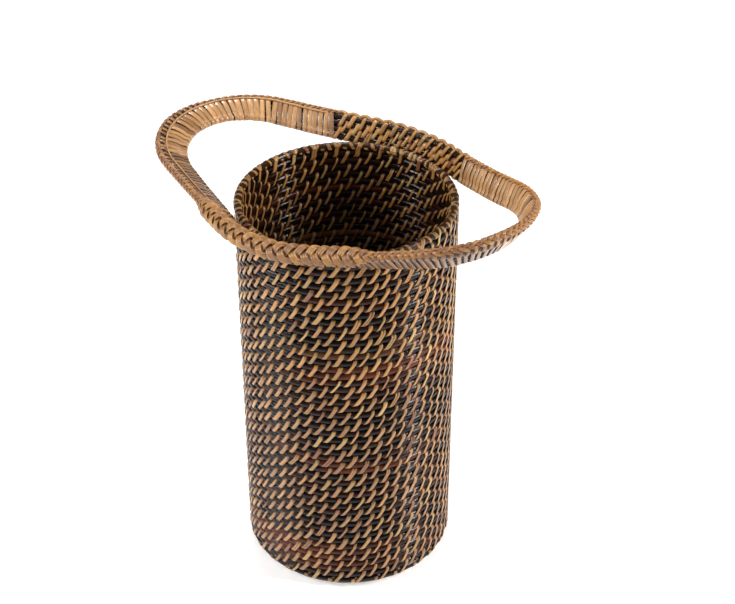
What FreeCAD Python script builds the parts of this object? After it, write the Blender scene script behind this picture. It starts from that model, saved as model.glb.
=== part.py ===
"""Coiled rattan umbrella stand with an oval handle band.

Frame: origin at the middle of the base on the floor, +Z up, X along the two handles.
Millimetres and degrees. Rods are coiled rattan core, stitches and wraps are split peel.
"""
import FreeCAD, Part
import math
import os

import Sketcher
from FreeCAD import Placement, Rotation, Vector

SIZES = [
    ("rod_dia", 7.6, "diameter of the base, wall and rim rods"),
    ("coil_radius", 120.0, "radius of the wall rods, at the rod's centre"),
    ("course_count", 51, "number of wall rods below the rim rod"),
    ("centre_radius", 18.0, "smallest radius of the knot at the middle of the base"),
    ("stitch_width", 6.2, "width of a peel stitch"),
    ("stitch_thick", 0.8, "thickness of a peel stitch"),
    ("stitch_gap", 0.3, "clearance between a stitch and the rods that it holds"),
    ("strip_gap", 0.2, "clearance between two strips that pass between the same rods"),
    ("stitch_lean", 30.0, "lean of the wall stitches from upright"),
    ("stitch_drift", 0.86, "sideways step of the stitches from one rod to the next"),
    ("stitch_spacing", 27.0, "distance from one stitch to the next in a row, about"),
    ("handle_rod_dia", 6.0, "diameter of the handle rods"),
    ("handle_rod_gap", 0.4, "clearance between a strip and the next handle rod"),
    ("handle_rods", 4, "number of rods side by side in the handle band"),
    ("handle_drop", 1.5, "first handle rod below the rim rod, at the front and back"),
    ("handle_reach", 215.0, "middle of the stand to the far end of the first handle rod"),
    ("handle_round", 79.0, "radius of the first handle rod at the far end"),
    ("rise_left", 20.0, "how far the left handle rises to its end"),
    ("rise_right", 33.5, "how far the right handle rises to its end"),
    ("flare_front", 41.0, "slope of the band at the front"),
    ("flare_back", 75.0, "slope of the band at the back"),
    ("flare_left", 25.0, "slope of the band at the left end"),
    ("flare_right", 57.0, "slope of the band at the right end"),
    ("braid_dia", 7.2, "diameter of the braid along the band's outer edge"),
    ("wrap_width", 5.4, "width of a handle wrap"),
    ("wrap_space", 1.0, "gap from one handle wrap to the next, at the first rod"),
    ("wrap_gap", 0.7, "clearance between a handle wrap and the rods beside it"),
    ("stitched_half", 72.0, "half length of the stitched middle of the band, along X"),
    ("joint_gap", 0.3, "gap where the two ends of a handle rod meet"),
]

RISE_POWER = 1.85      # how late the handles curve up on their way to the ends
FLARE_POWER = 1.3      # how late the band's slope turns to that of the ends
WALL_NODES = 17        # nodes that the wall rods, and their stitches, are shared among
BASE_NODES = 5         # nodes that the base rods are shared among
STATION_STEP = 5.0     # spacing of the points that shape a handle rod
TRIM = 0.45            # share of a run that each rounded corner takes
UP = Vector(0, 0, 1)
CENTRE = Vector(0, 0, 0)

doc = FreeCAD.newDocument("umbrella_stand")
sheet = doc.addObject("Spreadsheet::Sheet", "sizes")
for row, (alias, value, meaning) in enumerate(SIZES, start=1):
    sheet.set("A%d" % row, meaning)
    sheet.set("B%d" % row, str(value))
    sheet.setAlias("B%d" % row, alias)
doc.recompute()

size = {alias: float(sheet.get(alias)) for alias, value, meaning in SIZES}
rod_r = size["rod_dia"] / 2
handle_rod_r = size["handle_rod_dia"] / 2
skin = size["stitch_gap"] + size["stitch_thick"]
course_count = int(size["course_count"])
handle_rods = int(size["handle_rods"])
lean = math.tan(math.radians(size["stitch_lean"]))

# one strip passes between two wall rods, and two strips between two base rods
course_pitch = size["rod_dia"] + skin + size["stitch_gap"]
base_pitch = size["rod_dia"] + 2 * skin + size["strip_gap"]
handle_pitch = size["handle_rod_dia"] + skin + size["handle_rod_gap"]

# the lowest wall rod sits diagonally above the outermost base rod, two strips away
corner_step = base_pitch * math.sqrt(0.5)
base_z = rod_r + skin
first_z = base_z + corner_step
base_edge = size["coil_radius"] - corner_step
top_z = first_z + (course_count - 1) * course_pitch
# a stitch end and a rim wrap pass between the top wall rod and the rim rod
rim_z = top_z + base_pitch

# the base rows halve their stitches twice on the way in, so the count divides by four
stitch_count = 4 * round(math.pi * size["coil_radius"] / (2 * size["stitch_spacing"]))
stitch_pitch = 2 * math.pi / stitch_count
base_room = base_edge - size["centre_radius"] - rod_r - skin - size["stitch_gap"]
base_count = int(base_room / base_pitch) + 1

nodes = []


def add_node(label, obj):
    """Names an object as a sub-part of the stand."""
    obj.Label = label
    nodes.append(obj)
    return obj


def add_shape(label, shape):
    """Makes a sub-part from a shape that the primitives can't give."""
    obj = doc.addObject("Part::Feature", label)
    obj.Shape = shape
    obj.Placement = Placement()
    return add_node(label, obj)


# ---------------------------------------------------------------- rings of the coil

def add_ring(name, radius, height):
    """A ring of rod, with its radius and height bound to the sheet."""
    ring = doc.addObject("Part::Torus", name)
    ring.setExpression("Radius1", radius)
    ring.setExpression("Radius2", "sizes.rod_dia / 2")
    ring.setExpression("Placement.Base.z", height)
    return ring


def add_ring_group(label, rings):
    group = doc.addObject("Part::Compound", label)
    group.Links = rings
    return add_node(label, group)


SKIN = "(sizes.stitch_gap + sizes.stitch_thick)"
COURSE_PITCH = "(sizes.rod_dia + %s + sizes.stitch_gap)" % SKIN
BASE_PITCH = "(sizes.rod_dia + 2 * %s + sizes.strip_gap)" % SKIN
BASE_Z = "sizes.rod_dia / 2 + %s" % SKIN
CORNER = "%s * sqrt(0.5)" % BASE_PITCH
BASE_EDGE = "sizes.coil_radius - %s" % CORNER


def shares(items, groups):
    """The items in order, shared as evenly as they go among the groups."""
    marks = [round(group * len(items) / groups) for group in range(groups + 1)]
    return [items[start:end] for start, end in zip(marks, marks[1:])]


def base_radius(index):
    """Radius of a base ring, counted from the edge inwards."""
    return base_edge - index * base_pitch


def make_base_coils():
    rings = []
    for index in range(base_count):
        radius = "%s - %d * %s" % (BASE_EDGE, index, BASE_PITCH)
        rings.append(add_ring("base_ring_%02d" % (index + 1), radius, BASE_Z))
    for number, group in enumerate(shares(rings, BASE_NODES), start=1):
        add_ring_group("base_coils_%d" % number, group)


def make_base_centre():
    """The knot that the coil starts from: a round-edged disc that stands on the floor."""
    body = doc.addObject("PartDesign::Body", "base_centre")
    sketch = body.newObject("Sketcher::SketchObject", "centre_outline")
    plane = [f for f in body.Origin.OriginFeatures if f.Role == "XZ_Plane"][0]
    sketch.AttachmentSupport = [(plane, "")]
    sketch.MapMode = "FlatFace"
    corners = [Vector(0, 0, 0), Vector(10, 0, 0), Vector(10, 6, 0), Vector(0, 6, 0)]
    for start in range(4):
        line = Part.LineSegment(corners[start], corners[(start + 1) % 4])
        sketch.addGeometry(line, False)
    for start in range(4):
        sketch.addConstraint(Sketcher.Constraint("Coincident", start, 2, (start + 1) % 4, 1))
    sketch.addConstraint(Sketcher.Constraint("Horizontal", 0))
    sketch.addConstraint(Sketcher.Constraint("Horizontal", 2))
    sketch.addConstraint(Sketcher.Constraint("Vertical", 1))
    sketch.addConstraint(Sketcher.Constraint("Vertical", 3))
    sketch.addConstraint(Sketcher.Constraint("Coincident", 0, 1, -1, 1))
    width = sketch.addConstraint(Sketcher.Constraint("DistanceX", 0, 1, 0, 2, 10))
    height = sketch.addConstraint(Sketcher.Constraint("DistanceY", 1, 1, 1, 2, 6))
    innermost = "%s - %d * %s" % (BASE_EDGE, base_count - 1, BASE_PITCH)
    edge = "%s - sizes.rod_dia / 2 - %s - sizes.stitch_gap" % (innermost, SKIN)
    sketch.setExpression("Constraints[%d]" % width, edge)
    sketch.setExpression("Constraints[%d]" % height, "sizes.rod_dia + 2 * %s" % SKIN)
    turned = body.newObject("PartDesign::Revolution", "centre_disc")
    turned.Profile = sketch
    turned.ReferenceAxis = (sketch, ["V_Axis"])
    turned.Angle = 360
    doc.recompute()
    rims = []
    for number, rim in enumerate(turned.Shape.Edges, start=1):
        if rim.BoundBox.XLength > size["rod_dia"] and rim.BoundBox.ZLength < 0.01:
            rims.append("Edge%d" % number)
    rounded = body.newObject("PartDesign::Fillet", "centre_rounding")
    rounded.Base = (turned, rims)
    rounded.setExpression("Radius", "sizes.rod_dia / 3")
    add_node("base_centre", body)


def make_wall_coils():
    rings = []
    for index in range(course_count):
        height = "%s + %s + %d * %s" % (BASE_Z, CORNER, index, COURSE_PITCH)
        rings.append(add_ring("wall_ring_%02d" % (index + 1), "sizes.coil_radius", height))
    for number, group in enumerate(shares(rings, WALL_NODES), start=1):
        add_ring_group("wall_coils_%02d" % number, group)


def make_rim_rod():
    courses = "(sizes.course_count - 1) * %s" % COURSE_PITCH
    height = "%s + %s + %s + %s" % (BASE_Z, CORNER, courses, BASE_PITCH)
    add_node("rim_rod", add_ring("rim_rod", "sizes.coil_radius", height))


# ------------------------------------------------------------- stitches of peel strip

def hull_wire(span, first_r, second_r):
    """Outline round two circles: one at the origin, one at +X, in the XZ plane."""
    if span < 0.01:
        return Part.Wire([Part.makeCircle(first_r, CENTRE, Vector(0, 1, 0))])
    tilt = math.acos((first_r - second_r) / span)

    def on_first(angle):
        return Vector(first_r * math.cos(angle), 0, first_r * math.sin(angle))

    def on_second(angle):
        return Vector(span + second_r * math.cos(angle), 0, second_r * math.sin(angle))

    edges = [
        Part.Arc(on_first(tilt), on_first(math.pi), on_first(-tilt)).toShape(),
        Part.LineSegment(on_first(-tilt), on_second(-tilt)).toShape(),
        Part.Arc(on_second(-tilt), on_second(0), on_second(tilt)).toShape(),
        Part.LineSegment(on_second(tilt), on_first(tilt)).toShape(),
    ]
    return Part.Wire(edges)


def strip_loop(span, first_r, second_r, width, lean_x=0.0, lean_z=0.0, gap=size["stitch_gap"]):
    """A strip bent round two rods that run along Y, cut to its width.

    The cut leans about the middle between the rods: at (x, z) it has moved along Y by
    lean_x * (x - span / 2) + lean_z * z.
    """
    outside = gap + size["stitch_thick"]
    reach = max(first_r, second_r) + outside + 1
    length = width
    if lean_x or lean_z:
        length += 2 * (width + abs(lean_x) * (span + reach) + abs(lean_z) * reach)
    outer = Part.Face(hull_wire(span, first_r + outside, second_r + outside))
    inner = Part.Face(hull_wire(span, first_r + gap, second_r + gap))
    band = outer.cut(inner).Faces[0]
    band.translate(Vector(0, -length / 2, 0))
    loop = band.extrude(Vector(0, length, 0))
    if not lean_x and not lean_z:
        return loop
    near, far = -reach, span + reach
    low = lean_x * (near - span / 2) - lean_z * reach
    high = lean_x * (far - span / 2) - lean_z * reach
    corners = [
        Vector(near, low - width / 2, -reach),
        Vector(far, high - width / 2, -reach),
        Vector(far, high + width / 2, -reach),
        Vector(near, low + width / 2, -reach),
    ]
    slab = Part.Face(Part.makePolygon(corners + corners[:1]))
    slab = slab.extrude(Vector(0, 2 * reach * lean_z, 2 * reach))
    return loop.common(slab).Solids[0]


def placed(shape, origin, along, across):
    """A copy with its X axis laid on along and its Y axis on across."""
    copy = shape.copy()
    upward = along.cross(across)
    copy.Placement = Placement(origin, Rotation(along, across, upward, "XYZ"))
    return copy


def ring_point(radius, height, angle):
    return Vector(radius * math.cos(angle), radius * math.sin(angle), height)


def row_loops(first, second, count, phase, width, slant):
    """Stitches round two rings, each given as (radius, height), at equal angles.

    A stitch is straight where its rods bend, so it sits inwards by half of that bend.
    """
    rise = math.atan2(second[1] - first[1], second[0] - first[0])
    span = math.hypot(second[0] - first[0], second[1] - first[1])
    pattern = strip_loop(span, rod_r, rod_r, width, slant * math.sin(rise), slant * math.cos(rise))
    half_length = width / 2 + slant * (span / 2 + rod_r + skin)
    bend = half_length ** 2 / (2 * min(first[0], second[0]))
    loops = []
    for index in range(count):
        angle = phase + index * 2 * math.pi / count
        start = ring_point(first[0] - bend / 2, first[1], angle)
        along = (ring_point(second[0] - bend / 2, second[1], angle) - start).normalize()
        across = Vector(-math.sin(angle), math.cos(angle), 0)
        loops.append(placed(pattern, start, along, across))
    return loops


def row_phase(row):
    """Rows are staggered by half a stitch and drift sideways as they climb."""
    return row * (stitch_pitch / 2 + size["stitch_drift"] / size["coil_radius"])


def wall_ring(index):
    """Radius and height of a wall ring; ring 0 is the base's outermost, and the last is the rim."""
    if index == 0:
        return base_edge, base_z
    if index > course_count:
        return size["coil_radius"], rim_z
    return size["coil_radius"], first_z + (index - 1) * course_pitch


def make_wall_stitches():
    """Row 0 turns the corner from the base; the last row holds the rim rod."""
    rows = list(range(course_count + 1))
    for number, group in enumerate(shares(rows, WALL_NODES), start=1):
        loops = []
        for row in group:
            loops += row_loops(wall_ring(row), wall_ring(row + 1), stitch_count,
                               row_phase(row), size["stitch_width"], lean)
        add_shape("wall_stitches_%02d" % number, Part.makeCompound(loops))


def make_base_stitches():
    """Radial stitches, half as many each time the rings grow too small for them."""
    inner_rows = []
    count = stitch_count
    for row in range(base_count - 1):
        staggered = row % 2 == 0
        room = math.pi * base_radius(row + 2) / count
        if not staggered and room < size["stitch_width"] + size["stitch_gap"]:
            count = count // 2
        phase = math.pi / count if staggered else 0.0
        outer = (base_radius(row), base_z)
        inner = (base_radius(row + 1), base_z)
        loops = row_loops(inner, outer, count, phase, size["stitch_width"], 0.0)
        if row == 0:
            add_shape("base_edge_stitches", Part.makeCompound(loops))
        else:
            inner_rows += loops
    add_shape("base_stitches", Part.makeCompound(inner_rows))


# ------------------------------------------------------------------- the handle band

# a strip round the rim rod and a strip round the first handle rod pass between the two
seat_radius = size["coil_radius"] + rod_r + handle_rod_r + 2 * skin + size["strip_gap"]
end_centre = size["handle_reach"] - size["handle_round"]
turn = math.acos((seat_radius - size["handle_round"]) / end_centre)
side_run = end_centre * math.sin(turn)
end_arc = 2 * turn * size["handle_round"]
seat_arc = (math.pi - 2 * turn) * seat_radius
band_length = 2 * (end_arc + seat_arc) + 4 * side_run
wrap_span = (handle_rods - 1) * handle_pitch
edge_offset = wrap_span + handle_rod_r + size["stitch_thick"] + 2 * size["wrap_gap"]
edge_offset += size["braid_dia"] / 2
wrap_pitch = size["wrap_width"] + size["wrap_space"]
# the handle wraps start clear of the lashings, which stay where the first rod follows the rim
stitched_half = max(size["stitched_half"], seat_radius * math.cos(turn) + 2 * size["wrap_width"])


def band_plan(distance):
    """Plan point and outward direction along the first handle rod.

    The walk starts at the left end and passes the front, the right end and the back.
    """
    distance = distance % band_length
    half = band_length / 2
    flip = distance > half
    if flip:
        distance = band_length - distance
    # from the left end along the front to the right end
    steps = [end_arc / 2, side_run, seat_arc, side_run, end_arc / 2]
    step = 0
    while step < 4 and distance > steps[step]:
        distance -= steps[step]
        step += 1
    if step == 0:
        angle = math.pi + distance / size["handle_round"]
        origin = Vector(-end_centre, 0, 0)
        radius = size["handle_round"]
    elif step == 1:
        share = distance / side_run
        angle = math.pi + turn
        origin = Vector(-end_centre * (1 - share), 0, 0)
        radius = size["handle_round"] * (1 - share) + seat_radius * share
    elif step == 2:
        angle = math.pi + turn + distance / seat_radius
        origin = CENTRE
        radius = seat_radius
    elif step == 3:
        share = distance / side_run
        angle = 2 * math.pi - turn
        origin = Vector(end_centre * share, 0, 0)
        radius = seat_radius * (1 - share) + size["handle_round"] * share
    else:
        angle = 2 * math.pi - turn + distance / size["handle_round"]
        origin = Vector(end_centre, 0, 0)
        radius = size["handle_round"]
    outward = Vector(math.cos(angle), math.sin(angle), 0)
    point = origin + outward * radius
    if flip:
        point.y = -point.y
        outward.y = -outward.y
    return point, outward


def band_point(distance, offset):
    """A point of the band: distance along the first rod, offset across to the outer edge."""
    point, outward = band_plan(distance)
    side = "left" if point.x < 0 else "right"
    face = "front" if point.y < 0 else "back"
    share = min(1.0, abs(point.x) / size["handle_reach"])
    late = share ** FLARE_POWER
    slope = math.radians(size["flare_" + face] * (1 - late) + size["flare_" + side] * late)
    height = rim_z - size["handle_drop"] + size["rise_" + side] * share ** RISE_POWER
    return point + outward * (offset * math.cos(slope)) + UP * (height + offset * math.sin(slope))


def rounded_path(points):
    """Straight runs through the points, joined by arcs that touch both runs."""
    edges = []
    start = points[0]
    for before, corner, after in zip(points, points[1:], points[2:]):
        inward = (corner - before)
        outward = (after - corner)
        trim = TRIM * min(inward.Length, outward.Length)
        inward.normalize()
        outward.normalize()
        bend = inward.getAngle(outward)
        if bend < 1e-4:
            continue
        arc_start = corner - inward * trim
        arc_end = corner + outward * trim
        radius = trim / math.tan(bend / 2)
        middle = outward - inward
        middle.normalize()
        apex = corner + middle * (radius / math.cos(bend / 2) - radius)
        edges.append(Part.LineSegment(start, arc_start).toShape())
        edges.append(Part.Arc(arc_start, apex, arc_end).toShape())
        start = arc_end
    edges.append(Part.LineSegment(start, points[-1]).toShape())
    return Part.Wire(edges)


def band_rod(offset, radius):
    """A rod bent once round the band; its ends meet at the left end, under the wraps."""
    gap = size["joint_gap"]
    length = band_length - gap
    runs = round(length / STATION_STEP)
    points = [band_point(gap / 2 + length * step / runs, offset) for step in range(runs + 1)]
    path = rounded_path(points)
    profile = Part.Wire([Part.makeCircle(radius, points[0], points[1] - points[0])])
    rod = path.makePipe(Part.Face(profile))
    drawn = math.pi * radius ** 2 * path.Length
    if abs(rod.Volume - drawn) > 0.01 * drawn:
        raise ValueError("a handle rod has volume %.0f, not %.0f" % (rod.Volume, drawn))
    return rod


def make_handle_rods():
    for index in range(handle_rods):
        label = "handle_rod_%d" % (index + 1)
        add_shape(label, band_rod(index * handle_pitch, handle_rod_r))
    add_shape("handle_braid", band_rod(edge_offset, size["braid_dia"] / 2))


def band_loop(pattern, distance, offset, span):
    """A loop laid across the band at a distance along it."""
    start = band_point(distance, offset)
    along = (band_point(distance, offset + span) - start).normalize()
    middle = offset + span / 2
    ahead = band_point(distance + 1, middle) - band_point(distance - 1, middle)
    across = (ahead - along * ahead.dot(along)).normalize()
    return placed(pattern, start, along, across)


def make_handle_wraps():
    pattern = strip_loop(wrap_span, handle_rod_r, handle_rod_r, size["wrap_width"],
                         gap=size["wrap_gap"])
    for label, end in (("handle_wrap_left", 0.0), ("handle_wrap_right", band_length / 2)):
        loops = []
        steps = int(band_length / 4 / wrap_pitch)
        for step in range(-steps, steps + 1):
            distance = end + step * wrap_pitch
            if abs(band_plan(distance)[0].x) > stitched_half:
                loops.append(band_loop(pattern, distance, 0.0, wrap_span))
        add_shape(label, Part.makeCompound(loops))


def rim_angles(place):
    """Angles of the first or second wrap after each stitch of the last row."""
    climb = (rim_z - top_z) / 2 * lean / size["coil_radius"]
    first = row_phase(course_count) + climb + place * stitch_pitch / 3
    return [(first + index * stitch_pitch) % (2 * math.pi) for index in range(stitch_count)]


def is_seated(angle):
    """True where the first handle rod runs beside the rim."""
    from_front = abs(angle - 1.5 * math.pi)
    from_back = abs(angle - 0.5 * math.pi)
    return min(from_front, from_back) < math.pi / 2 - turn


def make_rim_wraps():
    """Wraps between the stitches, and lashings that hold the handle band to the rim."""
    pattern = strip_loop(0.0, rod_r, rod_r, size["stitch_width"], 0.0, lean)
    seated = [angle for angle in rim_angles(1) if is_seated(angle)]
    angles = rim_angles(2) + [angle for angle in rim_angles(1) if not is_seated(angle)]
    wraps = []
    for angle in angles:
        outward = ring_point(1, 0, angle)
        across = UP.cross(outward)
        wraps.append(placed(pattern, ring_point(size["coil_radius"], rim_z, angle), outward, across))
    add_shape("rim_wrap", Part.makeCompound(wraps))

    lashings = []
    for angle in seated:
        centre = 1.5 * math.pi if angle > math.pi else 0.5 * math.pi
        quarter = 0.25 if angle > math.pi else 0.75
        distance = quarter * band_length + (angle - centre) * seat_radius
        rod = band_point(distance, 0.0)
        tangent = (band_point(distance + 1, 0.0) - band_point(distance - 1, 0.0)).normalize()
        rim = ring_point(size["coil_radius"], rim_z, angle)
        along = rod - rim
        span = along.Length
        rise = math.asin(along.z / span)
        loop = strip_loop(span, rod_r, handle_rod_r, size["stitch_width"],
                          lean * math.sin(rise), lean * math.cos(rise))
        along.normalize()
        across = UP.cross(ring_point(1, 0, angle)) + tangent
        across = (across - along * across.dot(along)).normalize()
        lashings.append(placed(loop, rim, along, across))
    add_shape("rim_lashings", Part.makeCompound(lashings))
    return seated


def make_handle_stitches(seated):
    """Stitches between neighbouring handle rods, set between the lashings."""
    pattern = strip_loop(handle_pitch, handle_rod_r, handle_rod_r, size["wrap_width"])
    spacing = seat_radius * stitch_pitch
    reach = stitched_half - size["wrap_width"]
    for label, centre, quarter in (("handle_stitches_front", 1.5, 0.25),
                                   ("handle_stitches_back", 0.5, 0.75)):
        nearest = min(seated, key=lambda angle: abs(angle - centre * math.pi))
        middle = quarter * band_length + (nearest - centre * math.pi) * seat_radius
        steps = int(reach / spacing) + 1
        loops = []
        for row in range(handle_rods - 1):
            for step in range(-steps, steps + 1):
                distance = middle + (step + (row + 1) / (handle_rods - 1)) * spacing
                if abs(band_plan(distance)[0].x) < reach:
                    offset = row * handle_pitch
                    loops.append(band_loop(pattern, distance, offset, handle_pitch))
        add_shape(label, Part.makeCompound(loops))


make_base_centre()
make_base_coils()
make_base_stitches()
make_wall_coils()
make_wall_stitches()
make_rim_rod()
make_handle_rods()
make_handle_wraps()
make_handle_stitches(make_rim_wraps())

doc.recompute()
for obj in doc.Objects:
    if "Invalid" in obj.State or "Error" in obj.State:
        raise RuntimeError("%s did not compute: %s" % (obj.Label, obj.State))
for node in nodes:
    if node.Shape.isNull() or not node.Shape.isValid():
        raise RuntimeError("%s has no valid shape" % node.Label)

os.makedirs("parts", exist_ok=True)
for node in nodes:
    node.Shape.exportStep("parts/%s.step" % node.Label)
    print(node.Label, len(node.Shape.Solids), "solids", round(node.Shape.Volume), "mm3")
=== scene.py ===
"""Coiled rattan umbrella stand with an oval handle band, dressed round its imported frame.

Metres, in the frame of the stand: the origin is at the middle of the base on the floor, +Z up, X runs
through the two loop handles and -Y is the front.
"""
import math
import random

import bpy
import numpy as np
from bpy.props import FloatProperty, FloatVectorProperty, IntProperty, PointerProperty
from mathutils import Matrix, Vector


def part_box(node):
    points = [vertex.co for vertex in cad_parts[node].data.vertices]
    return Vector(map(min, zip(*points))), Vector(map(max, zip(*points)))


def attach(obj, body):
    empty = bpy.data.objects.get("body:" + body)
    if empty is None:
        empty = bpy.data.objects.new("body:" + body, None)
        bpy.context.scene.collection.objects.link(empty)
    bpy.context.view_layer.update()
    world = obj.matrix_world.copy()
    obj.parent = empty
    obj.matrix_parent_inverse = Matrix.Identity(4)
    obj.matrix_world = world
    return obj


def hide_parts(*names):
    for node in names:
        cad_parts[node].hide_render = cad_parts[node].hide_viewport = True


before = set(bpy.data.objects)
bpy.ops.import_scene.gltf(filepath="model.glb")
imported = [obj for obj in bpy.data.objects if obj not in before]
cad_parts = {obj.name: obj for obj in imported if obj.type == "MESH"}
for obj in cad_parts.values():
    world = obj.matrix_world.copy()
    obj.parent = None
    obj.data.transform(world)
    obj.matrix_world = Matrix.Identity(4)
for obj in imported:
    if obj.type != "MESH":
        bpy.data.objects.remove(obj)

bl_info = {
    "name": "Rattan umbrella stand",
    "version": (1, 0, 0),
    "blender": (4, 5, 0),
    "location": "View3D > Sidebar > Rattan",
    "description": "Weaves a coiled rattan umbrella stand round its frame",
    "category": "Object",
}

BODY = "root"
WALL_GROUPS = sorted(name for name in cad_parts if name.startswith("wall_coils"))
BASE_GROUPS = sorted(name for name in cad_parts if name.startswith("base_coils"))
WALL_STITCHES = sorted(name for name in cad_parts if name.startswith("wall_stitches"))

# the frame's own rods give the sizes that the weave is fitted to
RIM_LOW, RIM_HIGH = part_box("rim_rod")
ROD = (RIM_HIGH.z - RIM_LOW.z) / 2
COIL = RIM_HIGH.x - ROD
RIM_Z = (RIM_HIGH.z + RIM_LOW.z) / 2
WALL_LOW, WALL_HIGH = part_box(WALL_GROUPS[0])
COURSE = (WALL_HIGH.z - WALL_LOW.z) / 2 - ROD
FIRST_Z = WALL_LOW.z + ROD
TOP_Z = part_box(WALL_GROUPS[-1])[1].z - ROD
COURSES = round((TOP_Z - FIRST_Z) / COURSE) + 1
BASE_LOW, BASE_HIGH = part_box(BASE_GROUPS[0])
BASE_Z = (BASE_LOW.z + BASE_HIGH.z) / 2
BASE_EDGE = BASE_HIGH.x - ROD
BASE_PITCH = (BASE_HIGH.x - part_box(BASE_GROUPS[1])[1].x) / 2
BASE_RINGS = math.floor(BASE_EDGE / BASE_PITCH) + 1
GROUP_COURSES = COURSES // len(WALL_GROUPS)
HANDLE_ROD = 0.003
HANDLE_RODS = 4
HANDLE_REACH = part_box("handle_rod_1")[1].x - HANDLE_ROD

# how much fatter than in the frame the rods are drawn, so that each meets the next one
SNUG_COURSE = 1.15
SNUG_TOP = 1.3
SNUG_RIM = 1.2
SNUG_BASE = 0.52 * BASE_PITCH / ROD
SNUG_HANDLE = 1.23


def length_property(name, description, value, precision=4):
    return FloatProperty(name=name, description=description, default=value, unit="LENGTH",
                         precision=precision)


def angle_property(name, description, value):
    return FloatProperty(name=name, description=description, default=value, subtype="ANGLE")


def colour_property(name, description, value):
    return FloatVectorProperty(name=name, description=description, default=value, size=3,
                               subtype="COLOR", min=0, max=1)


class WallSettings(bpy.types.PropertyGroup):
    stitches: IntProperty(name="Stitches", description="Stitches round the wall in a row", default=28)
    width: length_property("Width", "Width of a stitch", 0.0050)
    thick: length_property("Thickness", "Thickness of the peel", 0.0009)
    lean: length_property("Lean", "How far a stitch's top is from its foot", 0.0105)
    drift: length_property(
        "Drift", "Sideways step of the stitches from one course to the next", 0.00086, precision=5)


class HandleSettings(bpy.types.PropertyGroup):
    pitch: length_property("Pitch", "Distance between the band's rods", 0.0075)
    rounding: length_property("Rounding", "Radius of the inner rod at a handle's end", 0.079)
    seat: length_property("Seat", "Radius of the inner rod beside the rim", 0.1292)
    drop: length_property("Drop", "Inner rod below the rim rod at the front", 0.0015)
    rise_left: length_property("Left rise", "Rise of the left handle to its end", 0.020)
    rise_right: length_property("Right rise", "Rise of the right handle to its end", 0.0335)
    flare_front: angle_property("Front flare", "Slope of the band at the front", math.radians(41))
    flare_back: angle_property("Back flare", "Slope of the band at the back", math.radians(75))
    flare_left: angle_property("Left flare", "Slope of the band at the left end", math.radians(25))
    flare_right: angle_property("Right flare", "Slope of the band at the right end", math.radians(57))
    stitched: length_property("Stitched right", "Where the right handle's wraps start, along X", 0.076)
    stitched_left: length_property(
        "Stitched left", "Where the left handle's wraps start at the back, along X", 0.100)
    wrap_pitch: length_property("Wrap pitch", "Distance from one handle wrap to the next", 0.0064)
    wrap_width: length_property("Wrap width", "Width of a handle wrap", 0.0061)
    stitch_spacing: length_property(
        "Stitch spacing", "Distance between the stitches that bind two rods", 0.0125)
    stitch_width: length_property("Stitch width", "Width of the stitches between the rods", 0.0050)
    lash_spacing: length_property(
        "Lashing spacing", "Distance from one lashing at the rim to the next", 0.0135)


class BraidSettings(bpy.types.PropertyGroup):
    lap: length_property("Lap", "Way along in which a strand crosses over and back", 0.0205)
    lap_broad: length_property("Broad lap", "What the broad plait's lap is longer by", 0.0125)
    swing: length_property("Swing", "How far a strand swings to each side", 0.0031)
    swing_broad: length_property(
        "Broad swing", "What a strand of the broad plait swings further", 0.0047)
    strand: length_property("Strand", "Half the width of a strand", 0.0016)
    strand_broad: length_property(
        "Broad strand", "What half a strand of the broad plait is wider by", 0.0025)
    cord: length_property("Cord", "Radius of the cord that the plait lies on", 0.0048)
    loop_length: length_property("Loop", "Length of one loop of the edge cord at the back", 0.0145)
    loop_height: length_property("Loop height", "How far the edge cord's loops stand out", 0.0026)


class ColourSettings(bpy.types.PropertyGroup):
    core: colour_property("Core", "Dark stained rattan core", (0.0055, 0.0026, 0.0016))
    red_core: colour_property("Red core", "Core where the stain is thin", (0.150, 0.032, 0.010))
    brown_core: colour_property("Brown core", "Core where the stain is worn", (0.170, 0.070, 0.022))
    gold: colour_property("Gold peel", "Peel near the rim", (0.56, 0.268, 0.074))
    tan: colour_property("Tan peel", "Peel lower down", (0.50, 0.248, 0.098))
    straw: colour_property("Straw peel", "The palest strips", (0.62, 0.375, 0.130))
    russet: colour_property("Russet peel", "The darkest strips", (0.235, 0.065, 0.028))
    honey: colour_property("Honey wrap", "Wraps on the handles", (0.68, 0.37, 0.155))
    umber: colour_property("Umber wrap", "Darker wraps on the handles", (0.30, 0.135, 0.062))


class StageSettings(bpy.types.PropertyGroup):
    heading: angle_property("Heading", "Camera's turn from the stand's front", 0.6700)
    tilt: angle_property("Tilt", "How far the camera looks down", 0.6066)
    side: length_property("Side", "Camera to the right of the stand", 0.9824)
    back: length_property("Distance", "Camera in front of the stand", 1.2025)
    height: length_property("Height", "Camera above the floor", 1.4114)
    lens: FloatProperty(name="Lens", description="Focal length in millimetres", default=80.47)
    floor: colour_property("Floor", "Colour of the floor", (0.86, 0.86, 0.86))


# ------------------------------------------------------------------------------ shader maths

class Socket:
    """An output socket that can be used in sums: each operator adds its Math node."""

    def __init__(self, tree, socket):
        self.tree = tree
        self.socket = socket

    def maths(self, operation, first, second):
        node = self.tree.nodes.new("ShaderNodeMath")
        node.operation = operation
        for slot, value in zip(node.inputs, (first, second)):
            if isinstance(value, Socket):
                self.tree.links.new(value.socket, slot)
            else:
                slot.default_value = value
        return Socket(self.tree, node.outputs[0])

    def __add__(self, other):
        return self.maths("ADD", self, other)

    def __radd__(self, other):
        return self.maths("ADD", other, self)

    def __sub__(self, other):
        return self.maths("SUBTRACT", self, other)

    def __rsub__(self, other):
        return self.maths("SUBTRACT", other, self)

    def __mul__(self, other):
        return self.maths("MULTIPLY", self, other)

    def __rmul__(self, other):
        return self.maths("MULTIPLY", other, self)


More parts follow.
